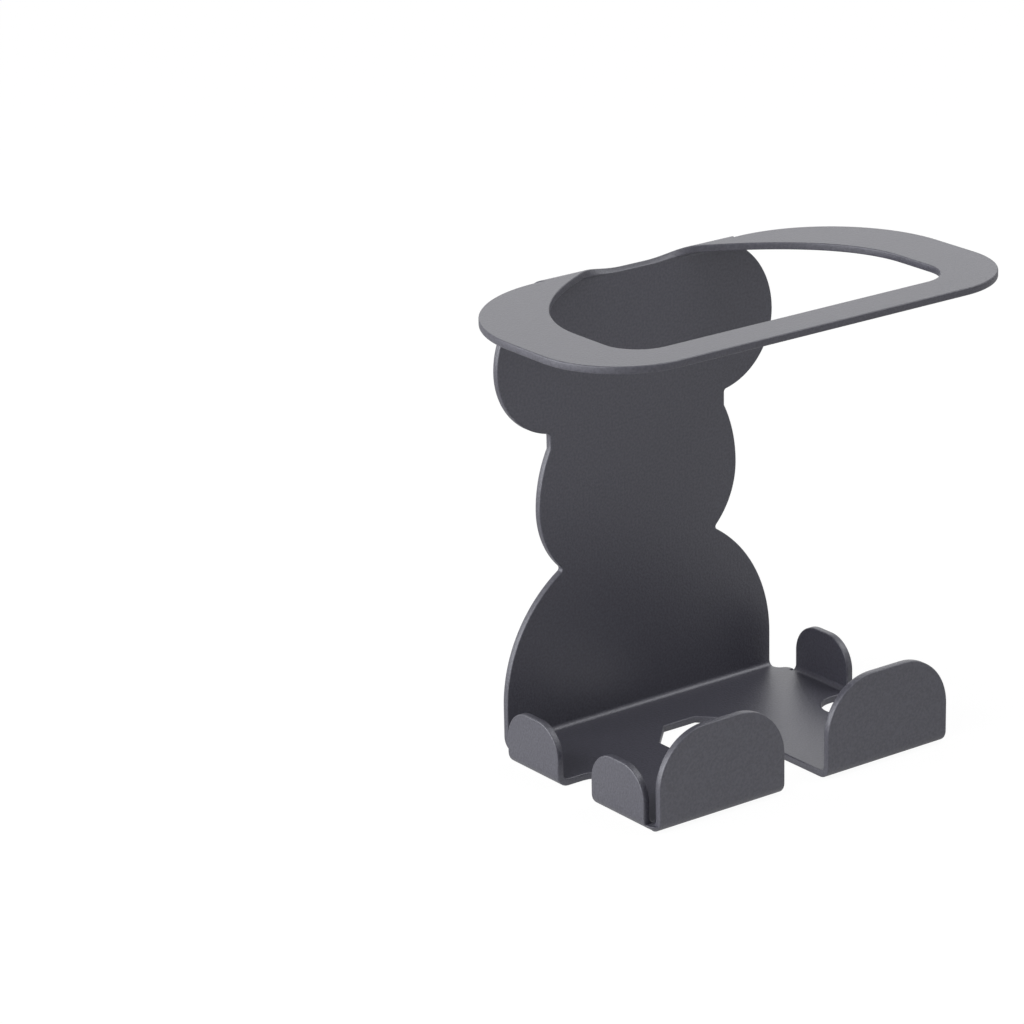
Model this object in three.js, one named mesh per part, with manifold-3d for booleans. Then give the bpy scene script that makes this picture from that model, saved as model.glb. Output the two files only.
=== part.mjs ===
// Wall-mounted razor holder: one sheet-steel blank, cut flat and given eight folds, stuck to the
// wall with three strips of foam tape. The razor stands on the floor, between the tabs, and leans in
// the ring that is folded forward from the top of the lobed back plate.
//
// Millimetres. +X to the viewer's right, -Y out of the wall, +Z up. The origin is the centre of the
// wall face of the middle tape strip. Heights named "level" count up from the underside of the floor,
// and distances named "out" count from the back of the plate towards the room.
import * as THREE from "three";
import { mergeVertices } from "three/addons/utils/BufferGeometryUtils.js";
import Module from "manifold-3d";

// Sheet and folds
const sheet = 1.5;
const bendInner = 1.1;
const bendSteps = 6;
const arcSteps = 10;

// Whole bracket
const height = 96.5; // underside of the floor to the top of the ring
const floorOut = 53.7; // back of the plate to the outer face of the front tabs
const floorWidth = 76; // over the outer faces of the side tabs

// Back plate: three lobes, each with its widest level, its width there and the radii of its edge
const footWidth = 68;
const lowLevel = 9;
const lowRadius = 30.8;
const midLevel = 48.5;
const midWidth = 50.2;
const midLowerRadius = 18;
const midUpperRadius = 28;
const waistWidth = 44.2;
const topDrop = 17.3; // top of the ring down to the widest level of the top lobe
const topWidth = 69.4;
const topLowerRadius = 15;
const topUpperRadius = 17;

// Ring and its opening, which runs on over the top bend into the plate
const ringWidth = 106.4;
const ringOut = 59.5;
const ringRearRadius = 27.8;
const ringFrontRadius = 18;
const neckWidth = 48; // over the outer edges of the two neck strips
const neckGap = 27.6; // between the strips, where they leave the bend
const openingWidth = 80.2;
const frontBand = 8.4; // ring material in front of the opening
const openingCorner = 8;
const openingSideOut = 34.4; // where the opening's straight sides start to close in
const openingSideHandle = 13.4;
const openingRearHandle = 17;
const dipWidth = 6; // level middle of the dip between the strips
const dipAngle = 62; // degrees of the bend that the dip cuts away

// Floor: slot, side recesses, corners
const slotOut = 13.85;
const slotRearWidth = 8;
const slotWidth = 20.2;
const slotChamfer = 6.2;
const slotFrontOut = 33.2;
const channelWidth = 11; // slot's way out to the front, between the front tabs
const recessRadius = 5.35;
const recessReach = 4.6; // inner face of the side tabs to the centre of the recess's round end
const footFillet = 1.5; // between the plate's foot and the floor's rear edge
const rearReach = 1; // floor's rear corners past the bend lines of the side tabs
const rearCorner = 0.8;
const slit = 0.4; // between a rear corner and the tab in front of it

// Tabs
const rearTabOut = 6.8;
const rearTabLength = 16.5;
const sideTabLength = 16.5;
const sideTabHeight = 12.3;
const sideTabCorner = 6.5;
const frontTabHeight = 20;
const frontTabCorner = 11.5;

// Foam tape on the back of the plate, one strip to a lobe
const tape = 1;
const tapeHeight = 18;
const tapeMargin = 5; // lobe's edge to the strip's end
const tapeFootGap = 2; // top of the foot's bend to the lowest strip

const bendOuter = bendInner + sheet;
const bendLine = height - bendOuter;
const topLevel = height - topDrop;
const frontTabEnd = floorWidth / 2 - sheet; // the front tabs end level with the side tabs' inner faces
const recessOut = rearTabOut + rearTabLength + recessRadius;
const sideTabOut = recessOut + recessRadius;

const wasm = await Module();
wasm.setup();

// A closed geometry as a solid, and a solid as a geometry.
function solid(geometry) {
  const bare = new THREE.BufferGeometry();
  bare.setAttribute("position", geometry.getAttribute("position"));
  if (geometry.index) bare.setIndex(geometry.index);
  const merged = mergeVertices(bare, 1e-4);
  return new wasm.Manifold(
    new wasm.Mesh({
      numProp: 3,
      vertProperties: new Float32Array(merged.attributes.position.array),
      triVerts: new Uint32Array(merged.index.array),
    }),
  );
}

function geometryOf(body) {
  const mesh = body.getMesh();
  const geometry = new THREE.BufferGeometry();
  geometry.setAttribute("position", new THREE.BufferAttribute(mesh.vertProperties, 3));
  geometry.setIndex(new THREE.BufferAttribute(mesh.triVerts, 1));
  const flat = geometry.toNonIndexed();
  flat.computeVertexNormals();
  return flat;
}

function mirrored(geometry) {
  const copy = geometry.index ? geometry.toNonIndexed() : geometry.clone();
  copy.scale(-1, 1, 1);
  const p = copy.attributes.position;
  for (let i = 0; i < p.count; i += 3) {
    const b = new THREE.Vector3().fromBufferAttribute(p, i + 1);
    const c = new THREE.Vector3().fromBufferAttribute(p, i + 2);
    p.setXYZ(i + 1, c.x, c.y, c.z);
    p.setXYZ(i + 2, b.x, b.y, b.z);
  }
  return copy;
}

const extrude = (shape) =>
  new THREE.ExtrudeGeometry(shape, {
    depth: sheet,
    bevelEnabled: false,
    curveSegments: arcSteps,
  });

// A panel of sheet drawn in (x, level), with its back face this far out.
const upright = (shape, out) => extrude(shape).rotateX(Math.PI / 2).translate(0, -out, 0);

// A panel drawn in (x, out), with its underside at this level.
const level = (shape, z) => extrude(shape).rotateX(Math.PI).translate(0, 0, z + sheet);

// A side panel drawn in (out, level), with its outer face at this x.
const sideways = (shape, x) =>
  extrude(shape).applyMatrix4(
    new THREE.Matrix4()
      .makeBasis(
        new THREE.Vector3(0, -1, 0),
        new THREE.Vector3(0, 0, 1),
        new THREE.Vector3(-1, 0, 0),
      )
      .setPosition(x, 0, 0),
  );

// Sheet folded round a centre line from direction p to direction q, lofted through one section at each
// angle. span(angle) gives where the section starts and ends along p x q.
function fold(centre, p, q, span, angles, inner = bendInner, outer = bendOuter) {
  const along = new THREE.Vector3().crossVectors(p, q);
  const points = [];
  for (const angle of angles) {
    const [from, to] = span(angle);
    const ray = p.clone().multiplyScalar(Math.cos(angle)).addScaledVector(q, Math.sin(angle));
    for (const [r, l] of [[inner, from], [inner, to], [outer, to], [outer, from]])
      points.push(centre.clone().addScaledVector(ray, r).addScaledVector(along, l));
  }
  const faces = [];
  const quad = (a, b, c, d) => faces.push(a, b, c, a, c, d);
  const last = 4 * (angles.length - 1);
  for (let i = 0; i < last; i += 4)
    for (let k = 0; k < 4; k++) {
      const n = (k + 1) % 4;
      quad(i + k, i + n, i + 4 + n, i + 4 + k);
    }
  quad(3, 2, 1, 0);
  quad(last, last + 1, last + 2, last + 3);
  const geometry = new THREE.BufferGeometry().setFromPoints(points);
  geometry.setIndex(faces);
  return geometry;
}

const steps = (from, to, count) =>
  Array.from({ length: count + 1 }, (_, i) => from + ((to - from) * i) / count);
const quarter = steps(0, Math.PI / 2, bendSteps);
const back = new THREE.Vector3(0, 1, 0);
const room = new THREE.Vector3(0, -1, 0);
const up = new THREE.Vector3(0, 0, 1);
const down = new THREE.Vector3(0, 0, -1);
const right = new THREE.Vector3(1, 0, 0);

// Angle from an arc's widest point to its top, or to the middle plane where the arc reaches that first.
const reach = (x, radius) => Math.acos(Math.max(0, -x / radius));

// Back plate, as the union of its lobes and the waist between the upper two.
function backPlate() {
  const foot = footWidth / 2;
  const lowX = foot - lowRadius;
  const dome = reach(lowX, lowRadius);
  const low = new THREE.Shape();
  low.moveTo(-foot, bendOuter);
  low.lineTo(foot, bendOuter);
  low.lineTo(foot, lowLevel);
  low.absarc(lowX, lowLevel, lowRadius, 0, dome);
  low.absarc(-lowX, lowLevel, lowRadius, Math.PI - dome, Math.PI);

  const midX = midWidth / 2 - midLowerRadius;
  const archX = midWidth / 2 - midUpperRadius;
  const bowl = reach(midX, midLowerRadius);
  const arch = reach(archX, midUpperRadius);
  const mid = new THREE.Shape();
  mid.absarc(midX, midLevel, midLowerRadius, -bowl, 0);
  mid.absarc(archX, midLevel, midUpperRadius, 0, arch);
  mid.absarc(-archX, midLevel, midUpperRadius, Math.PI - arch, Math.PI);
  mid.absarc(-midX, midLevel, midLowerRadius, Math.PI, Math.PI + bowl);

  const waist = new THREE.Shape();
  waist.moveTo(-waistWidth / 2, midLevel);
  waist.lineTo(waistWidth / 2, midLevel);
  waist.lineTo(waistWidth / 2, topLevel);
  waist.lineTo(-waistWidth / 2, topLevel);

  const lowerX = topWidth / 2 - topLowerRadius;
  const upperX = topWidth / 2 - topUpperRadius;
  const shoulder = Math.asin((bendLine - topLevel) / topUpperRadius);
  const cup = reach(lowerX, topLowerRadius);
  const top = new THREE.Shape();
  top.absarc(lowerX, topLevel, topLowerRadius, -cup, 0);
  top.absarc(upperX, topLevel, topUpperRadius, 0, shoulder);
  top.lineTo(-upperX - topUpperRadius * Math.cos(shoulder), bendLine);
  top.absarc(-upperX, topLevel, topUpperRadius, Math.PI - shoulder, Math.PI);
  top.absarc(-lowerX, topLevel, topLowerRadius, Math.PI, Math.PI + cup);

  const plate = [low, mid, waist, top]
    .map((shape) => solid(upright(shape, 0)))
    .reduce((a, b) => a.add(b));
  return { plate, shoulderHalf: upperX + topUpperRadius * Math.cos(shoulder) };
}

// Top bend: from the shoulders of the top lobe it narrows to the two neck strips, and the ring's
// opening cuts on into it as a dip with a level middle and curved ends, square to the sheet.
function topBend(shoulderHalf) {
  const centre = new THREE.Vector3(0, -bendOuter, bendLine);
  const half = (angle) =>
    shoulderHalf + ((neckWidth / 2 - shoulderHalf) * angle) / (Math.PI / 2);
  const bend = solid(fold(centre, back, up, (a) => [-half(a), half(a)], quarter));
  const depth = THREE.MathUtils.degToRad(dipAngle);
  const start = Math.PI / 2 - depth;
  const gap = (angle) => {
    const rise = Math.min(1, Math.max(0, (angle - start) / depth));
    return dipWidth / 2 + ((neckGap - dipWidth) / 2) * Math.sqrt(rise);
  };
  const angles = [start, ...steps(0.25, 1, bendSteps).map((s) => start + depth * s * s)];
  angles.push(Math.PI / 2 + 0.1);
  const cut = fold(
    centre,
    back,
    up,
    (a) => [-gap(a), gap(a)],
    angles,
    bendInner / 2,
    bendOuter + sheet,
  );
  return bend.subtract(solid(cut));
}

// Ring: from the outer edge of one neck strip round to the other, and back along the opening.
function ring() {
  const side = ringWidth / 2;
  const rearX = side - ringRearRadius;
  const rearOut = bendOuter + ringRearRadius;
  const cornerX = side - ringFrontRadius;
  const cornerOut = ringOut - ringFrontRadius;
  const inner = openingWidth / 2;
  const innerOut = ringOut - frontBand;
  const innerX = inner - openingCorner;
  const gap = neckGap / 2;
  const slope = new THREE.Vector2(2, 1).normalize().multiplyScalar(openingRearHandle);
  const shape = new THREE.Shape();
  shape.moveTo(gap, bendOuter);
  shape.lineTo(neckWidth / 2, bendOuter);
  shape.lineTo(rearX, bendOuter);
  shape.absarc(rearX, rearOut, ringRearRadius, -Math.PI / 2, 0);
  shape.absarc(cornerX, cornerOut, ringFrontRadius, 0, Math.PI / 2);
  shape.absarc(-cornerX, cornerOut, ringFrontRadius, Math.PI / 2, Math.PI);
  shape.absarc(-rearX, rearOut, ringRearRadius, Math.PI, 1.5 * Math.PI);
  shape.lineTo(-neckWidth / 2, bendOuter);
  shape.lineTo(-gap, bendOuter);
  shape.bezierCurveTo(
    -gap - slope.x, bendOuter + slope.y,
    -inner, openingSideOut - openingSideHandle,
    -inner, openingSideOut,
  );
  shape.absarc(-innerX, innerOut - openingCorner, openingCorner, Math.PI, Math.PI / 2, true);
  shape.absarc(innerX, innerOut - openingCorner, openingCorner, Math.PI / 2, 0, true);
  shape.lineTo(inner, openingSideOut);
  shape.bezierCurveTo(
    inner, openingSideOut - openingSideHandle,
    gap + slope.x, bendOuter + slope.y,
    gap, bendOuter,
  );
  return solid(level(shape, height - sheet));
}

// Floor, between the bend lines of the plate and the tabs, with its slot open to the front.
function floor() {
  const side = floorWidth / 2 - bendOuter;
  const front = floorOut - bendOuter;
  const foot = footWidth / 2;
  const recessX = frontTabEnd - recessReach;
  const channel = channelWidth / 2;
  const slotHalf = slotWidth / 2;
  const rearHalf = slotRearWidth / 2;
  const rearX = side + rearReach;
  const rearOut = bendOuter + footFillet;
  const shape = new THREE.Shape();
  shape.moveTo(-foot, bendOuter);
  shape.lineTo(foot, bendOuter);
  shape.absarc(foot + footFillet, bendOuter, footFillet, Math.PI, Math.PI / 2, true);
  shape.absarc(rearX - rearCorner, rearOut + rearCorner, rearCorner, -Math.PI / 2, 0);
  shape.lineTo(rearX, rearTabOut - slit);
  shape.lineTo(side, rearTabOut - slit);
  shape.lineTo(side, rearTabOut + rearTabLength);
  shape.lineTo(recessX, rearTabOut + rearTabLength);
  shape.absarc(recessX, recessOut, recessRadius, 1.5 * Math.PI, Math.PI / 2, true);
  shape.lineTo(side, sideTabOut);
  shape.lineTo(side, front);
  shape.lineTo(channel, front);
  shape.lineTo(channel, slotFrontOut + slotHalf - channel);
  shape.lineTo(slotHalf, slotFrontOut);
  shape.lineTo(slotHalf, slotOut + slotChamfer);
  shape.lineTo(rearHalf, slotOut);
  shape.lineTo(-rearHalf, slotOut);
  shape.lineTo(-slotHalf, slotOut + slotChamfer);
  shape.lineTo(-slotHalf, slotFrontOut);
  shape.lineTo(-channel, slotFrontOut + slotHalf - channel);
  shape.lineTo(-channel, front);
  shape.lineTo(-side, front);
  shape.lineTo(-side, sideTabOut);
  shape.lineTo(-recessX, sideTabOut);
  shape.absarc(-recessX, recessOut, recessRadius, Math.PI / 2, -Math.PI / 2, true);
  shape.lineTo(-side, rearTabOut + rearTabLength);
  shape.lineTo(-side, rearTabOut - slit);
  shape.lineTo(-rearX, rearTabOut - slit);
  shape.absarc(-rearX + rearCorner, rearOut + rearCorner, rearCorner, Math.PI, 1.5 * Math.PI);
  shape.absarc(-foot - footFillet, bendOuter, footFillet, Math.PI / 2, 0, true);
  return solid(level(shape, 0));
}

// The floor's right front corner, drawn round as both bends run into it, up to the floor's top.
function drawnCorner() {
  const side = floorWidth / 2 - bendOuter;
  const front = floorOut - bendOuter;
  const from = sideTabOut + sideTabLength;
  const ball = new THREE.SphereGeometry(bendOuter, 4 * bendSteps, 2 * bendSteps)
    .rotateX(Math.PI / 2)
    .translate(side, -front, bendOuter);
  const roll = new THREE.CylinderGeometry(bendOuter, bendOuter, front - from, 4 * bendSteps)
    .translate(side, -(front + from) / 2, bendOuter);
  const room = new THREE.BoxGeometry(bendOuter, floorOut - from, sheet).translate(
    side + bendOuter / 2,
    -(floorOut + from) / 2,
    sheet / 2,
  );
  return solid(ball).add(solid(roll)).intersect(solid(room));
}

// A tab with two round top corners, from its bend line up.
function tabShape(from, to, top, corner) {
  const shape = new THREE.Shape();
  shape.moveTo(from, bendOuter);
  shape.lineTo(to, bendOuter);
  shape.absarc(to - corner, top - corner, corner, 0, Math.PI / 2);
  shape.absarc(from + corner, top - corner, corner, Math.PI / 2, Math.PI);
  return shape;
}

// One side tab with its bend, on the right.
function sideTab(from, length) {
  const x = floorWidth / 2;
  const centre = new THREE.Vector3(x - bendOuter, 0, bendOuter);
  return [
    sideways(tabShape(from, from + length, sideTabHeight, sideTabCorner), x),
    fold(centre, down, right, () => [from, from + length], quarter),
  ];
}

// The right front tab with its bend.
function frontTab() {
  const from = channelWidth / 2;
  const centre = new THREE.Vector3(0, bendOuter - floorOut, bendOuter);
  return [
    upright(tabShape(from, frontTabEnd, frontTabHeight, frontTabCorner), floorOut - sheet),
    fold(centre, room, down, () => [from, frontTabEnd], quarter),
  ];
}

function foldedBracket() {
  const { plate, shoulderHalf } = backPlate();
  const foot = footWidth / 2;
  const footCentre = new THREE.Vector3(0, -bendOuter, bendOuter);
  const footBend = fold(footCentre, back, down, () => [-foot, foot], quarter);
  const tabs = [
    ...sideTab(rearTabOut, rearTabLength),
    ...sideTab(sideTabOut, sideTabLength),
    ...frontTab(),
  ];
  const corner = drawnCorner();
  return [
    topBend(shoulderHalf),
    ring(),
    solid(footBend),
    floor(),
    corner,
    solid(mirrored(geometryOf(corner))),
    ...tabs.map(solid),
    ...tabs.map((tab) => solid(mirrored(tab))),
  ].reduce((a, b) => a.add(b), plate);
}

const powderCoat = new THREE.MeshStandardMaterial({
  color: 0x4b4b51,
  roughness: 0.5,
  metalness: 0.25,
});
const foam = new THREE.MeshStandardMaterial({ color: 0xd9d9d6, roughness: 0.85, metalness: 0 });

const holder = new THREE.Group();
holder.name = "razor_holder";

const bracket = new THREE.Mesh(geometryOf(foldedBracket()), powderCoat);
bracket.name = "folded_bracket";
bracket.position.set(0, -tape, -midLevel);
holder.add(bracket);

const strips = [
  ["foam_tape_top", topLevel, topWidth],
  ["foam_tape_middle", midLevel, midWidth],
  ["foam_tape_bottom", bendOuter + tapeFootGap + tapeHeight / 2, footWidth],
];
for (const [name, centreLevel, lobeWidth] of strips) {
  const strip = new THREE.Mesh(
    new THREE.BoxGeometry(lobeWidth - 2 * tapeMargin, tape, tapeHeight),
    foam,
  );
  strip.name = name;
  strip.position.set(0, -tape / 2, centreLevel - midLevel);
  holder.add(strip);
}

export default holder;
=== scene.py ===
# %% [markdown]
# # A razor holder folded from one sheet of steel
#
# On the real object the ring, the back plate, the floor and the six tabs are one piece. A laser
# cuts the flat blank, its edges are tumbled smooth, it gets eight folds, and then a fine satin
# powder coat. Three strips of foam tape on its back hold it to the wall.
#
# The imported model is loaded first. It fixes the size and the place of every piece, and its bracket
# has plain sharp edges. Here the bracket is made again the way the workshop makes it: draw the
# blank, soften its edges while it is flat, then fold it. Softening a flat sheet is simple, and
# after the folds the soft edge runs round every bend at the same width.

# %% The frame and its box
from math import acos, atan2, cos, degrees, pi, radians, sin, sqrt

import bmesh
import bpy
from mathutils import Matrix, Vector
from mathutils.geometry import interpolate_bezier


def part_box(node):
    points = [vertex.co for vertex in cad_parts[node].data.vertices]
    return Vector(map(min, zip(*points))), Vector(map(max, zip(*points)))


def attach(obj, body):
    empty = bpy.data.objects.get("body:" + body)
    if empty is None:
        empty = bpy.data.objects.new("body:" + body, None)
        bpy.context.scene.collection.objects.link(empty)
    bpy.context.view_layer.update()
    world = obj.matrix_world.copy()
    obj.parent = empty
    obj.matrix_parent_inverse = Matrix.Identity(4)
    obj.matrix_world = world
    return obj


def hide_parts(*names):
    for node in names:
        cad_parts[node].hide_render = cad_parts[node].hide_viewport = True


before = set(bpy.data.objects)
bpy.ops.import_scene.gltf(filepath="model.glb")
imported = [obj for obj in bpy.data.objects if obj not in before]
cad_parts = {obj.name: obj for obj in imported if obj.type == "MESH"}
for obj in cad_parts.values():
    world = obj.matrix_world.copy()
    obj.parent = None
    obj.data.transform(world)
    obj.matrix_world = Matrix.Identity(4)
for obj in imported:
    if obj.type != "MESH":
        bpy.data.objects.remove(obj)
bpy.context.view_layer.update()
MM = 0.001

# %% [markdown]
# ## Camera
#
# The photograph was taken with a long lens from the front left and from above. A camera is set by
# where it stands, where it looks and how far it is rolled about its own view line. The three axes
# of a camera's matrix are its right, its up and the direction behind it, so they can be built from
# two angles and a roll without any helper object.

# %% Camera from its two angles and its roll
AZIMUTH = 0.6297
ELEVATION = 0.3414
ROLL = -0.0219
FOCAL_PIXELS = 4372.04
FRAME_PIXELS = 1024
SENSOR = 36
CAMERA_PLACE = (-0.5098, -0.65842, 0.29019)

forward = Vector(
    (sin(AZIMUTH) * cos(ELEVATION), cos(AZIMUTH) * cos(ELEVATION), -sin(ELEVATION))
)
level_right = Vector((cos(AZIMUTH), -sin(AZIMUTH), 0))
level_up = level_right.cross(forward)
camera_right = cos(ROLL) * level_right + sin(ROLL) * level_up
camera_up = cos(ROLL) * level_up - sin(ROLL) * level_right

lens = bpy.data.cameras.new("photo_camera")
lens.sensor_width = SENSOR
lens.lens = FOCAL_PIXELS / FRAME_PIXELS * SENSOR
camera = bpy.data.objects.new("photo_camera", lens)
bpy.context.scene.collection.objects.link(camera)
axes = Matrix((camera_right, camera_up, -forward)).transposed()
camera.matrix_world = Matrix.Translation(CAMERA_PLACE) @ axes.to_4x4()
bpy.context.scene.camera = camera
print("lens", round(lens.lens, 1), "mm")

# %% [markdown]
# ## Sizes of the sheet and its folds
#
# All lengths are in metres, because Blender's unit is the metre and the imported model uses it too.
# A fold takes up some of the flat sheet. The line in the middle of the thickness neither stretches
# nor shrinks, so a 90 degree fold uses a quarter of the circle that this line follows.

# %% Sheet, folds and levels
SHEET = 1.5 * MM
BEND_INNER = 1.1 * MM
BEND_OUTER = BEND_INNER + SHEET
BEND_LENGTH = pi / 2 * (BEND_INNER + SHEET / 2)
TAPE = 1.0 * MM

bracket_low, bracket_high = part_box("folded_bracket")
UNDERSIDE = bracket_low.z
TOP = bracket_high.z - bracket_low.z
TOP_BEND = TOP - BEND_OUTER
FLOOR_DEPTH = 53.7 * MM
FLOOR_HALF = 38 * MM
FRONT_BEND = FLOOR_DEPTH - BEND_OUTER
SIDE_BEND = FLOOR_HALF - BEND_OUTER
print("bracket", round(TOP / MM, 2), "mm high, each fold uses", round(BEND_LENGTH / MM, 3), "mm")

# %% [markdown]
# ## A pen for the blank
#
# The blank is a flat outline of straight cuts and arcs. A pen that starts from one vertex can draw
# it: a straight cut extrudes the last vertex, and an arc spins it about a centre. Only the right
# half is drawn, and mirror adds the left, so both halves are sure to match.
#
# The blank lies in the plane of the back plate. The floor hangs below the plate, the ring stands
# above it, and the small functions turn a place on the folded bracket into its place on the blank.


# %% The pen
class Pen:
    def __init__(self, bm, x, z):
        self.bm = bm
        self.last = bm.verts.new((x, 0, z))

    def line(self, x, z):
        grown = bmesh.ops.extrude_vert_indiv(self.bm, verts=[self.last])["verts"]
        self.last = grown[0]
        self.last.co = (x, 0, z)

    def path(self, *places):
        for place in places:
            self.line(*place)

    def arc(self, x, z, turn, steps):
        spun = bmesh.ops.spin(
            self.bm,
            geom=[self.last],
            cent=(x, 0, z),
            axis=(0, -1, 0),
            angle=radians(turn),
            steps=steps,
        )
        self.last = [g for g in spun["geom_last"] if isinstance(g, bmesh.types.BMVert)][0]


def on_floor(out):
    return BEND_OUTER - BEND_LENGTH - (out - BEND_OUTER)


def on_ring(out):
    return TOP_BEND + BEND_LENGTH + (out - BEND_OUTER)


def on_front_tab(level):
    return on_floor(FRONT_BEND) - BEND_LENGTH - (level - BEND_OUTER)


def on_side_tab(level):
    return SIDE_BEND + BEND_LENGTH + (level - BEND_OUTER)


# %% [markdown]
# ## The outer edge of the blank
#
# The edge starts at the back of the slot in the floor, runs out to the front between the two front
# tabs, round the tabs and up the floor's side, then up the plate's three round lobes and round the
# ring. At the floor's rear end, its round corner and the fillet beside the plate's foot run into
# each other, so both turn by the angle between their centres. Where two lobes meet, the edge has a
# notch with a small round bottom. It touches both lobes, so its centre lies where two slightly
# larger circles about theirs cross.

# %% Slot, front tab and side tabs
SLOT_BACK = 13.85 * MM
SLOT_BACK_HALF = 4 * MM
SLOT_HALF = 10.1 * MM
SLOT_SIDE = 20.05 * MM
SLOT_FRONT = 33.2 * MM
CHANNEL_HALF = 5.5 * MM
TAB_END = 36.5 * MM
FRONT_TAB_HEIGHT = 20 * MM
FRONT_TAB_CORNER = 11.5 * MM
SIDE_TAB_HEIGHT = 12.3 * MM
SIDE_TAB_CORNER = 6.5 * MM
SIDE_TABS = ((50.5 * MM, 34.0 * MM), (23.3 * MM, 6.8 * MM))
RECESS_X = 31.9 * MM
FOOT_HALF = 34 * MM
FOOT_FILLET = 1.7 * MM
SLIT = 0.4 * MM
REAR_CORNER = Vector((34.3 * MM, 6.1 * MM))
LOW_LEVEL = 9 * MM

blank = bmesh.new()
pen = Pen(blank, 0, on_floor(SLOT_BACK))
pen.path(
    (SLOT_BACK_HALF, on_floor(SLOT_BACK)),
    (SLOT_HALF, on_floor(SLOT_SIDE)),
    (SLOT_HALF, on_floor(SLOT_FRONT)),
    (CHANNEL_HALF, on_floor(SLOT_FRONT + SLOT_HALF - CHANNEL_HALF)),
)
tab_shoulder = on_front_tab(FRONT_TAB_HEIGHT - FRONT_TAB_CORNER)
pen.line(CHANNEL_HALF, tab_shoulder)
pen.arc(CHANNEL_HALF + FRONT_TAB_CORNER, tab_shoulder, 90, 24)
pen.line(TAB_END - FRONT_TAB_CORNER, on_front_tab(FRONT_TAB_HEIGHT))
pen.arc(TAB_END - FRONT_TAB_CORNER, tab_shoulder, 90, 24)
pen.path((TAB_END, on_floor(FRONT_BEND)), (SIDE_BEND, on_floor(FRONT_BEND)))
side_shoulder = on_side_tab(SIDE_TAB_HEIGHT - SIDE_TAB_CORNER)
for number, (near, far) in enumerate(SIDE_TABS):
    pen.path((SIDE_BEND, on_floor(near)), (side_shoulder, on_floor(near)))
    pen.arc(side_shoulder, on_floor(near - SIDE_TAB_CORNER), 90, 18)
    pen.line(on_side_tab(SIDE_TAB_HEIGHT), on_floor(far + SIDE_TAB_CORNER))
    pen.arc(side_shoulder, on_floor(far + SIDE_TAB_CORNER), 90, 18)
    pen.line(SIDE_BEND, on_floor(far))
    if number == 0:
        recess_middle = (far + SIDE_TABS[1][0]) / 2
        pen.line(RECESS_X, on_floor(far))
        pen.arc(RECESS_X, on_floor(recess_middle), -180, 24)
foot = Vector((FOOT_HALF + FOOT_FILLET, BEND_OUTER))
apart = REAR_CORNER - foot
swing = degrees(atan2(apart.y, -apart.x))
rear_radius = apart.length - FOOT_FILLET
slit_end = SIDE_TABS[1][1] - SLIT
pen.path(
    (SIDE_BEND, on_floor(slit_end)),
    (REAR_CORNER.x + rear_radius, on_floor(slit_end)),
    (REAR_CORNER.x + rear_radius, on_floor(REAR_CORNER.y)),
)
pen.arc(REAR_CORNER.x, on_floor(REAR_CORNER.y), swing, 12)
pen.arc(foot.x, on_floor(foot.y), -swing, 12)
pen.line(FOOT_HALF, LOW_LEVEL)


# %% Lobes of the back plate
def crossing(centre_a, radius_a, centre_b, radius_b):
    """The point to the right where two circles cross."""
    a, b = Vector(centre_a), Vector(centre_b)
    apart = (b - a).length
    ahead = (b - a) / apart
    reach = (apart**2 + radius_a**2 - radius_b**2) / (2 * apart)
    aside = sqrt(radius_a**2 - reach**2)
    return a + ahead * reach + Vector((ahead.y, -ahead.x)) * aside


LOW_RADIUS = 30.8 * MM
MID_LEVEL, MID_HALF = 48.5 * MM, 25.1 * MM
MID_LOWER_RADIUS, MID_UPPER_RADIUS = 18 * MM, 28 * MM
WAIST_HALF = 22.1 * MM
TOP_LEVEL, TOP_HALF = TOP - 17.3 * MM, 34.7 * MM
TOP_LOWER_RADIUS, TOP_UPPER_RADIUS = 15 * MM, 17 * MM
NOTCH_FILLET = 0.7 * MM

low_x = FOOT_HALF - LOW_RADIUS
mid_x = MID_HALF - MID_LOWER_RADIUS
arch_x = MID_HALF - MID_UPPER_RADIUS
notch = crossing(
    (low_x, LOW_LEVEL),
    LOW_RADIUS + NOTCH_FILLET,
    (mid_x, MID_LEVEL),
    MID_LOWER_RADIUS + NOTCH_FILLET,
)
to_low = degrees(atan2(notch.y - LOW_LEVEL, notch.x - low_x))
to_mid = degrees(atan2(MID_LEVEL - notch.y, notch.x - mid_x))
pen.arc(low_x, LOW_LEVEL, to_low, 48)
pen.arc(notch.x, notch.y, -to_low - to_mid, 8)
pen.arc(mid_x, MID_LEVEL, to_mid, 30)
pen.arc(arch_x, MID_LEVEL, degrees(acos((WAIST_HALF - arch_x) / MID_UPPER_RADIUS)), 24)
lobe_x = TOP_HALF - TOP_LOWER_RADIUS
armpit = Vector((WAIST_HALF + NOTCH_FILLET, 0))
armpit.y = TOP_LEVEL - sqrt((TOP_LOWER_RADIUS + NOTCH_FILLET) ** 2 - (armpit.x - lobe_x) ** 2)
to_lobe = degrees(atan2(TOP_LEVEL - armpit.y, armpit.x - lobe_x))
pen.line(WAIST_HALF, armpit.y)
pen.arc(armpit.x, armpit.y, -to_lobe, 8)
pen.arc(lobe_x, TOP_LEVEL, to_lobe, 36)
rise = TOP_BEND - TOP_LEVEL
to_bend = degrees(atan2(rise, sqrt(TOP_UPPER_RADIUS**2 - rise**2)))
pen.arc(TOP_HALF - TOP_UPPER_RADIUS, TOP_LEVEL, to_bend, 36)

# %% Outer edge of the ring
NECK_HALF = 24 * MM
RING_HALF = 53.2 * MM
RING_FRONT = 59.5 * MM
RING_BACK_RADIUS = 27.8 * MM
RING_CORNER = 18 * MM

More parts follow.
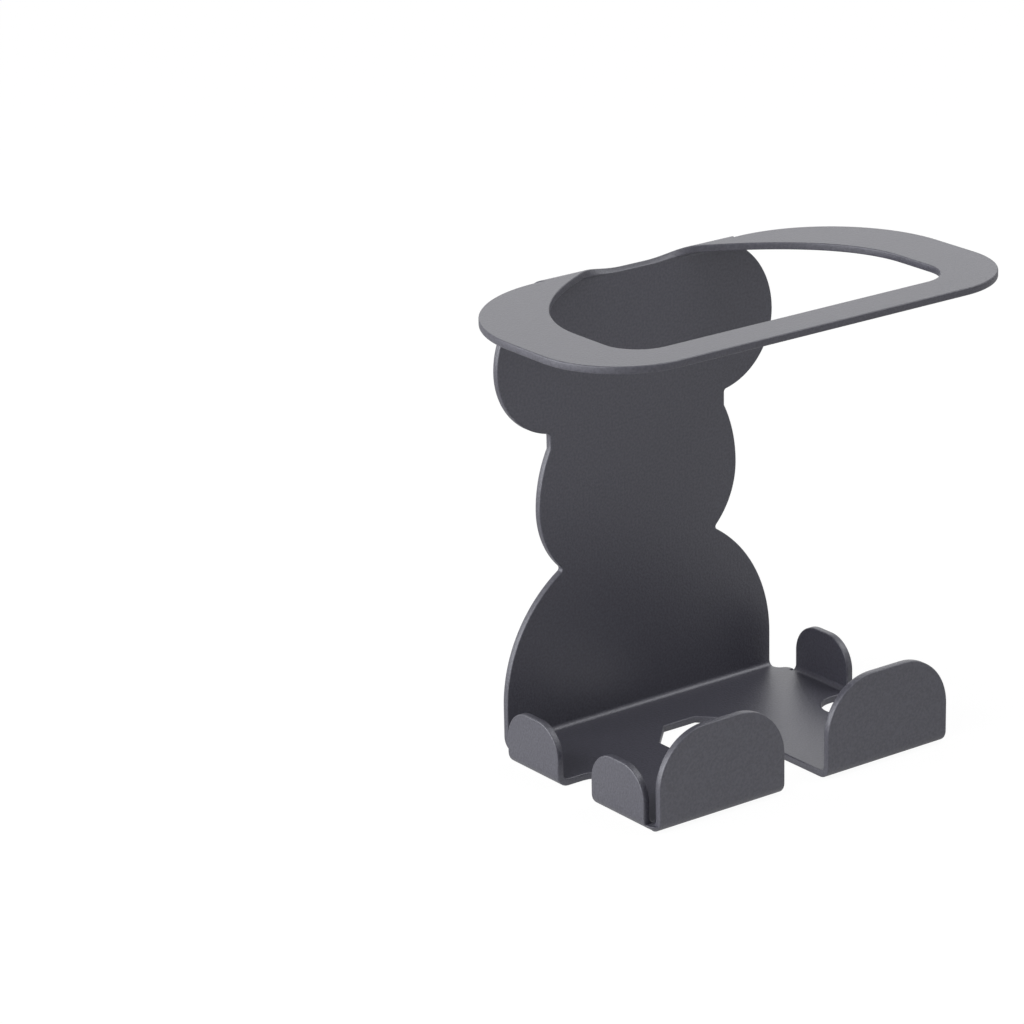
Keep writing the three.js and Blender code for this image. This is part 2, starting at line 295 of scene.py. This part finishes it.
ring_x = RING_HALF - RING_BACK_RADIUS
pen.path((NECK_HALF, on_ring(BEND_OUTER)), (ring_x, on_ring(BEND_OUTER)))
pen.arc(ring_x, on_ring(BEND_OUTER + RING_BACK_RADIUS), 90, 60)
pen.line(RING_HALF, on_ring(RING_FRONT - RING_CORNER))
pen.arc(RING_HALF - RING_CORNER, on_ring(RING_FRONT - RING_CORNER), 90, 48)
pen.line(0, on_ring(RING_FRONT))

# %% [markdown]
# ## The opening in the ring
#
# The opening is straight in front, has small front corners, and closes in behind along a curve that
# runs on over the top bend. There it ends in a shallow dip in the plate's top edge, and the ring
# hangs on the two neck strips beside it. One Bezier curve from Blender's own function gives the
# curved side, and the dip is a half parabola.

# %% Opening
OPENING_HALF = 40.1 * MM
OPENING_FRONT = 51.1 * MM
OPENING_CORNER = 8 * MM
OPENING_SIDE = 34.4 * MM
NECK_GAP_HALF = 13.8 * MM
DIP_HALF = 3 * MM
DIP_TURN = 62 / 90
DIP_STEPS = 12
SIDE_PULL = 13.4 * MM
END_PULL = 17 * MM
END_SLOPE = Vector((2, 1)).normalized()

pen = Pen(blank, 0, on_ring(OPENING_FRONT))
pen.line(OPENING_HALF - OPENING_CORNER, on_ring(OPENING_FRONT))
pen.arc(OPENING_HALF - OPENING_CORNER, on_ring(OPENING_FRONT - OPENING_CORNER), -90, 16)
side_start = Vector((OPENING_HALF, on_ring(OPENING_SIDE)))
side_end = Vector((NECK_GAP_HALF, on_ring(BEND_OUTER)))
side_curve = interpolate_bezier(
    side_start,
    side_start - Vector((0, SIDE_PULL)),
    side_end + END_SLOPE * END_PULL,
    side_end,
    60,
)
pen.path(*side_curve)
dip_depth = BEND_LENGTH * DIP_TURN
for step in range(DIP_STEPS - 1, -1, -1):
    pen.line(
        DIP_HALF + (NECK_GAP_HALF - DIP_HALF) * step / DIP_STEPS,
        on_ring(BEND_OUTER) - dip_depth * (1 - (step / DIP_STEPS) ** 2),
    )
pen.line(0, on_ring(BEND_OUTER) - dip_depth)
print("half outline", len(blank.verts), "points")

# %% [markdown]
# ## From the outline to a soft-edged flat sheet
#
# Mirror adds the left half, and triangle_fill closes the outline round the opening. An inset first
# lays a narrow band along the whole edge. Its short cross edges stand square to the rim, so the
# bevel that follows slides along them and keeps one width everywhere, which long thin triangles
# wouldn't allow. Solidify then gives the sheet its thickness.

# %% Fill, band, thickness, soft edge
EDGE_RADIUS = 0.25 * MM
BAND = EDGE_RADIUS * 1.15

bmesh.ops.mirror(
    blank,
    geom=blank.verts[:] + blank.edges[:],
    matrix=Matrix.Identity(4),
    merge_dist=1e-7,
    axis="X",
)
bmesh.ops.remove_doubles(blank, verts=blank.verts, dist=1e-6)
bmesh.ops.triangle_fill(blank, use_beauty=True, edges=blank.edges[:], normal=(0, -1, 0))
bmesh.ops.recalc_face_normals(blank, faces=blank.faces)
if blank.faces[:][0].normal.y > 0:
    bmesh.ops.reverse_faces(blank, faces=blank.faces)
flat_area = sum(f.calc_area() for f in blank.faces)
bmesh.ops.inset_region(
    blank,
    faces=blank.faces[:],
    use_boundary=True,
    use_even_offset=True,
    thickness=BAND,
)
bmesh.ops.solidify(blank, geom=blank.faces[:], thickness=SHEET)
bmesh.ops.recalc_face_normals(blank, faces=blank.faces)
front_face = min(v.co.y for v in blank.verts)
bmesh.ops.translate(blank, verts=blank.verts, vec=(0, -SHEET - front_face, 0))
rim = [
    e
    for e in blank.edges
    if len(e.link_faces) == 2
    and sorted(round(abs(f.normal.y)) for f in e.link_faces) == [0, 1]
]
bmesh.ops.bevel(
    blank,
    geom=rim,
    offset=EDGE_RADIUS,
    offset_type="OFFSET",
    affect="EDGES",
    segments=4,
    profile=0.5,
    material=-1,
    clamp_overlap=False,
)
print("blank", round(flat_area / MM**2), "mm2,", len(rim), "rim edges,", len(blank.faces), "faces")

# %% [markdown]
# ## Folding
#
# A fold needs edges across the sheet where it will bend, so bisect_plane first cuts a row of lines
# into the flat sheet. Two more lines just outside the bend keep the smooth shading of the bend from
# spreading over the flat faces. The fold then turns each vertex past the first line about the
# bend's centre: by a part of 90 degrees inside the bend, and by all of it beyond. The tabs are
# folded while the floor is still flat, then the floor with its tabs, then the ring. The ring and
# the floor's rear corners also reach past the side tabs' bend lines, so those two folds take only
# what lies at the tabs' own levels.

# %% Fold
BEND_STEPS = 14
GUARD = 0.2 * MM


def fold(bm, start, outward, low=-1, high=1):
    """Folds what lies past the line through start, between two levels, towards the room."""
    start, outward, room = Vector(start), Vector(outward), Vector((0, -1, 0))
    cuts = [-GUARD, BEND_LENGTH + GUARD]
    cuts += [BEND_LENGTH * step / BEND_STEPS for step in range(BEND_STEPS + 1)]
    for cut in cuts:
        bmesh.ops.bisect_plane(
            bm,
            geom=bm.verts[:] + bm.edges[:] + bm.faces[:],
            dist=1e-8,
            plane_co=start + outward * cut,
            plane_no=outward,
        )
    centre = start + room * BEND_OUTER
    axis = outward.cross(room)
    moved = 0
    for v in bm.verts:
        past = (v.co - start).dot(outward)
        if past <= 0 or not low < v.co.z < high:
            continue
        used = min(past, BEND_LENGTH)
        turn = Matrix.Rotation(pi / 2 * used / BEND_LENGTH, 3, axis)
        v.co = centre + turn @ (v.co - outward * used - centre)
        moved += 1
    return moved


side_levels = (on_floor(SIDE_TABS[0][0] + GUARD), on_floor(SIDE_TABS[1][1] - GUARD))
folds = (
    ("right side tabs", (SIDE_BEND, 0, 0), (1, 0, 0), side_levels),
    ("left side tabs", (-SIDE_BEND, 0, 0), (-1, 0, 0), side_levels),
    ("front tabs", (0, 0, on_floor(FRONT_BEND)), (0, 0, -1), ()),
    ("floor", (0, 0, BEND_OUTER), (0, 0, -1), ()),
    ("ring", (0, 0, TOP_BEND), (0, 0, 1), ()),
)
for name, start, outward, levels in folds:
    print("folded", name, fold(blank, start, outward, *levels), "vertices")

# %% [markdown]
# ## Drawn front corners
#
# At the front corners of the floor two bends run into each other, and the press draws the sheet
# round there: below the floor's top, the corner is a piece of a ball with the bends' outer radius,
# and a short roll joins it to the side tab. A ball whose rear half is moved back by the roll's
# length has just this form. Planes cut away what the floor and the tabs already have.

# %% Drawn corners
CORNER_GAP = 0.02 * MM
CORNER_OVERLAP = 0.3 * MM
CORNER_SOFTENING = 0.15 * MM

corner = bmesh.new()
bmesh.ops.create_uvsphere(corner, u_segments=48, v_segments=24, radius=BEND_OUTER)
roll_length = FRONT_BEND - SIDE_TABS[0][0]
for v in corner.verts:
    if v.co.y > -1e-7:
        v.co.y += roll_length
cuts = (
    ((0, 0, SHEET - BEND_OUTER), (0, 0, 1)),
    ((0, roll_length - CORNER_GAP, 0), (0, 1, 0)),
    ((-CORNER_OVERLAP, 0, 0), (-1, 0, 0)),
)
for place, normal in cuts:
    cut = bmesh.ops.bisect_plane(
        corner,
        geom=corner.verts[:] + corner.edges[:] + corner.faces[:],
        plane_co=place,
        plane_no=normal,
        clear_outer=True,
    )
    loose = [g for g in cut["geom_cut"] if isinstance(g, bmesh.types.BMEdge)]
    bmesh.ops.edgenet_fill(corner, edges=loose)
bmesh.ops.bevel(
    corner,
    geom=[e for e in corner.edges if e.calc_face_angle(0) > radians(40)],
    offset=CORNER_SOFTENING,
    affect="EDGES",
    segments=3,
    profile=0.5,
    material=-1,
)
bmesh.ops.translate(corner, verts=corner.verts, vec=(SIDE_BEND, -FRONT_BEND, BEND_OUTER))
bmesh.ops.mirror(
    corner,
    geom=corner.verts[:] + corner.edges[:] + corner.faces[:],
    matrix=Matrix.Identity(4),
    merge_dist=0,
    axis="X",
)
corner_mesh = bpy.data.meshes.new("drawn_corners")
corner.to_mesh(corner_mesh)
corner.free()
blank.from_mesh(corner_mesh)
bpy.data.meshes.remove(corner_mesh)

# %% [markdown]
# The bracket is moved to its place against the tape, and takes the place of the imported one. Its
# object stays at the origin, so the pattern of the coat stays where it is.

# %% Bracket in its place
bmesh.ops.translate(blank, verts=blank.verts, vec=(0, -TAPE, UNDERSIDE))
bmesh.ops.recalc_face_normals(blank, faces=blank.faces)


def piece(name, bm, material, node):
    mesh = bpy.data.meshes.new(name)
    bm.to_mesh(mesh)
    bm.free()
    for polygon in mesh.polygons:
        polygon.use_smooth = True
    made = bpy.data.objects.new(name, mesh)
    bpy.context.scene.collection.objects.link(made)
    mesh.materials.append(material)
    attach(made, "root")
    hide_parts(node)
    print(name, len(mesh.polygons), "faces")


# %% [markdown]
# ## Powder coat
#
# The coat is a dark anthracite with a slight violet tint. Powder melts into a skin with a very fine
# grain and a soft wider ripple, called orange peel, and both break up its satin gloss. Bump nodes
# make both from noise on Object coordinates. The grain's noise also varies the roughness and the
# colour a little, so that the grain still shows where the light is flat.


# %% Coat material
COAT_MIDDLE = (0.055, 0.054, 0.071)
COAT_DARK = (0.043, 0.042, 0.056)
COAT_LIGHT = (0.067, 0.066, 0.086)
PEEL_SIZE, PEEL_HEIGHT = 1.6 * MM, 0.05 * MM
GRAIN_SIZE, GRAIN_HEIGHT = 0.5 * MM, 0.06 * MM


def shader(name, base, roughness, specular=0.5):
    material = bpy.data.materials.new(name)
    material.use_nodes = True
    tree = material.node_tree
    surface = tree.nodes["Principled BSDF"]
    surface.inputs["Base Color"].default_value = (*base, 1)
    surface.inputs["Roughness"].default_value = roughness
    surface.inputs["Specular IOR Level"].default_value = specular
    place = tree.nodes.new("ShaderNodeTexCoord").outputs["Object"]
    return material, tree, surface, place


def noise(tree, place, size, detail):
    node = tree.nodes.new("ShaderNodeTexNoise")
    node.inputs["Scale"].default_value = 1 / size
    node.inputs["Detail"].default_value = detail
    tree.links.new(place, node.inputs["Vector"])
    return node.outputs["Fac"]


def bump(tree, height, distance, strength, below=None):
    node = tree.nodes.new("ShaderNodeBump")
    node.inputs["Distance"].default_value = distance
    node.inputs["Strength"].default_value = strength
    tree.links.new(height, node.inputs["Height"])
    if below:
        tree.links.new(below, node.inputs["Normal"])
    return node.outputs["Normal"]


def spread(tree, factor, low, high):
    node = tree.nodes.new("ShaderNodeMapRange")
    node.inputs["To Min"].default_value = low
    node.inputs["To Max"].default_value = high
    tree.links.new(factor, node.inputs["Value"])
    return node.outputs["Result"]


coat, tree, surface, place = shader("satin_powder_coat", COAT_MIDDLE, 0.42, 1.0)
surface.inputs["Specular Tint"].default_value = (0.94, 0.95, 1, 1)
peel = noise(tree, place, PEEL_SIZE, 1)
grain = noise(tree, place, GRAIN_SIZE, 3)
rippled = bump(tree, peel, PEEL_HEIGHT, 0.35)
tree.links.new(bump(tree, grain, GRAIN_HEIGHT, 1, rippled), surface.inputs["Normal"])
tree.links.new(spread(tree, grain, 0.36, 0.50), surface.inputs["Roughness"])
mottle = tree.nodes.new("ShaderNodeValToRGB")
dark, light = mottle.color_ramp.elements
dark.position, dark.color = 0.36, (*COAT_DARK, 1)
light.position, light.color = 0.64, (*COAT_LIGHT, 1)
tree.links.new(grain, mottle.inputs["Fac"])
tree.links.new(mottle.outputs["Color"], surface.inputs["Base Color"])
piece("bracket_coated", blank, coat, "folded_bracket")

# %% [markdown]
# ## Foam tape
#
# Each strip is a ribbon of white acrylic foam with an adhesive film on both faces. A knife cuts it
# from the roll, and pressing the holder on squeezes it, so its cut edges bulge a little at half
# thickness. A box with round corners is cut three times across its thickness, and its sides are
# moved out at these cuts, most at half thickness.

# %% Tape material
foam, tree, surface, place = shader("acrylic_foam", (0.66, 0.66, 0.64), 0.62)
cells = noise(tree, place, 0.25 * MM, 3)
tree.links.new(bump(tree, cells, 0.06 * MM, 0.5), surface.inputs["Normal"])
tree.links.new(spread(tree, cells, 0.5, 0.75), surface.inputs["Roughness"])

# %% Tape strips
EDGE_BULGE = 0.12 * MM
STRIP_CORNER = 0.6 * MM
for name in ("foam_tape_top", "foam_tape_middle", "foam_tape_bottom"):
    low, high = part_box(name)
    middle, size = (low + high) / 2, high - low
    strip = bmesh.new()
    bmesh.ops.create_cube(strip, size=1)
    straight = size - Vector((2 * EDGE_BULGE, 0, 2 * EDGE_BULGE))
    bmesh.ops.scale(strip, verts=strip.verts, vec=straight)
    across = [e for e in strip.edges if abs((e.verts[0].co - e.verts[1].co).y) > size.y / 2]
    bmesh.ops.bevel(
        strip,
        geom=across,
        offset=STRIP_CORNER,
        affect="EDGES",
        segments=5,
        profile=0.5,
        material=-1,
    )
    for share in (-0.25, 0, 0.25):
        bmesh.ops.bisect_plane(
            strip,
            geom=strip.verts[:] + strip.edges[:] + strip.faces[:],
            plane_co=(0, share * size.y, 0),
            plane_no=(0, 1, 0),
        )
    for v in strip.verts:
        bulge = EDGE_BULGE * (1 - (2 * v.co.y / size.y) ** 2)
        v.co.x += bulge if v.co.x > 0 else -bulge
        v.co.z += bulge if v.co.z > 0 else -bulge
    bmesh.ops.translate(strip, verts=strip.verts, vec=middle)
    piece(name + "_foam", strip, foam, name)

# %% [markdown]
# ## Floor and light
#
# The photograph is a cut-out on white. The floor is pale, and it mixes in a plain white for camera
# rays, so that it looks white and still keeps a faint shadow. Satin paint takes much of its tone
# from what it mirrors: the upright tabs show the bright paper that lies close round the object. So
# the floor also glows for glossy rays in two round pools, one under the front of the object and one
# to its left, less with every step away from their middles.
#
# The world gives the rest of the mirrored white and only a little light. Four softboxes light the
# object: one from above, one from the left for the side tabs, one from behind whose mirror image
# lies on the ring, and one behind on the left for the edges there. The left one is the widest,
# because a smaller one turned the satin ring nearly white when it was seen from the right. The ring
# still looks paler from there than from the front.

# %% Floor
CAMERA_SHARE = 0.9
GLOW = 1.06
GLOW_POOL_RADIUS = 100 * MM
# Two pools of painted glow on the floor, seen only by glossy rays: a painted reflection of bright
# paper close round the object.
GLOSSY_GLOW_POOLS = ((0, -45 * MM, 0.5), (-80 * MM, 0, 0.4))
FLOOR_SIZE, FLOOR_GAP = 6, 0.2 * MM


def maths(tree, operation, *values):
    """A Math node, with each value set on its socket or linked to it."""
    node = tree.nodes.new("ShaderNodeMath")
    node.operation = operation
    for socket, value in zip(node.inputs, values):
        if isinstance(value, float):
            socket.default_value = value
        else:
            tree.links.new(value, socket)
    return node.outputs[0]


floor_sheet = bmesh.new()
bmesh.ops.create_grid(floor_sheet, x_segments=1, y_segments=1, size=FLOOR_SIZE)
bmesh.ops.translate(floor_sheet, verts=floor_sheet.verts, vec=(0, 0, UNDERSIDE - FLOOR_GAP))
floor_mesh = bpy.data.meshes.new("pale_floor")
floor_sheet.to_mesh(floor_mesh)
floor_sheet.free()
floor = bpy.data.objects.new("pale_floor", floor_mesh)
bpy.context.scene.collection.objects.link(floor)

paper, tree, surface, place = shader("pale_paper", (0.8, 0.8, 0.8), 0.9, 0.2)
glow = tree.nodes.new("ShaderNodeEmission")
glow.inputs["Strength"].default_value = GLOW
path = tree.nodes.new("ShaderNodeLightPath")
total = maths(tree, "MULTIPLY", path.outputs["Is Camera Ray"], CAMERA_SHARE)
# Painted glow: each pool glows for glossy rays only and fades from its middle, so the tabs and plate
# mirror a painted bright patch.
for x, y, strength in GLOSSY_GLOW_POOLS:
    shrink = tree.nodes.new("ShaderNodeMapping")
    shrink.inputs["Scale"].default_value = (1 / GLOW_POOL_RADIUS, 1 / GLOW_POOL_RADIUS, 0)
    shrink.inputs["Location"].default_value = (-x / GLOW_POOL_RADIUS, -y / GLOW_POOL_RADIUS, 0)
    tree.links.new(place, shrink.inputs["Vector"])
    fade = tree.nodes.new("ShaderNodeTexGradient")
    fade.gradient_type = "SPHERICAL"
    tree.links.new(shrink.outputs[0], fade.inputs["Vector"])
    painted_glow = maths(tree, "MULTIPLY", path.outputs["Is Glossy Ray"], fade.outputs["Fac"])
    total = maths(tree, "MULTIPLY_ADD", painted_glow, strength, total)
blend = tree.nodes.new("ShaderNodeMixShader")
tree.links.new(total, blend.inputs["Fac"])
tree.links.new(surface.outputs[0], blend.inputs[1])
tree.links.new(glow.outputs[0], blend.inputs[2])
tree.links.new(blend.outputs[0], tree.nodes["Material Output"].inputs["Surface"])
floor_mesh.materials.append(paper)

# %% World
DIFFUSE_STRENGTH = 0.1
GLOSSY_SHARE = 0.9

world = bpy.data.worlds.new("studio")
bpy.context.scene.world = world
world.use_nodes = True
tree = world.node_tree
soft = tree.nodes["Background"]
soft.inputs["Color"].default_value = (1, 1, 1, 1)
soft.inputs["Strength"].default_value = DIFFUSE_STRENGTH
white = tree.nodes.new("ShaderNodeBackground")
white.inputs["Strength"].default_value = 1
path = tree.nodes.new("ShaderNodeLightPath")
mostly = maths(tree, "MULTIPLY", path.outputs["Is Glossy Ray"], GLOSSY_SHARE)
either = maths(tree, "MAXIMUM", path.outputs["Is Camera Ray"], mostly)
mix = tree.nodes.new("ShaderNodeMixShader")
tree.links.new(either, mix.inputs["Fac"])
tree.links.new(soft.outputs[0], mix.inputs[1])
tree.links.new(white.outputs[0], mix.inputs[2])
tree.links.new(mix.outputs[0], tree.nodes["World Output"].inputs["Surface"])


# %% Lamps
def lamp(name, place, aim, size, power):
    """An area lamp that looks from its place to another, sized in metres, in watts."""
    light = bpy.data.lights.new(name, "AREA")
    light.shape = "RECTANGLE"
    light.size, light.size_y = size
    light.energy = power
    made = bpy.data.objects.new(name, light)
    made.visible_camera = False
    bpy.context.scene.collection.objects.link(made)
    facing = (Vector(place) - Vector(aim)).to_track_quat("Z", "Y")
    made.matrix_world = Matrix.Translation(place) @ facing.to_matrix().to_4x4()


CENTRE = (0, -0.03, 0)
lamp("top_softbox", (0.5, -0.3, 0.75), CENTRE, (0.6, 0.6), 3.3)
lamp("left_softbox", (-0.95, -0.08, 0.33), CENTRE, (1.2, 1.2), 12)
lamp("back_softbox", (0.72, 1.0, 0.45), CENTRE, (1.0, 0.8), 2.55)
lamp("left_back_softbox", (-0.8, 0.55, 0.2), CENTRE, (0.6, 0.6), 3.6)

# %% View
bpy.context.scene.view_settings.view_transform = "Standard"
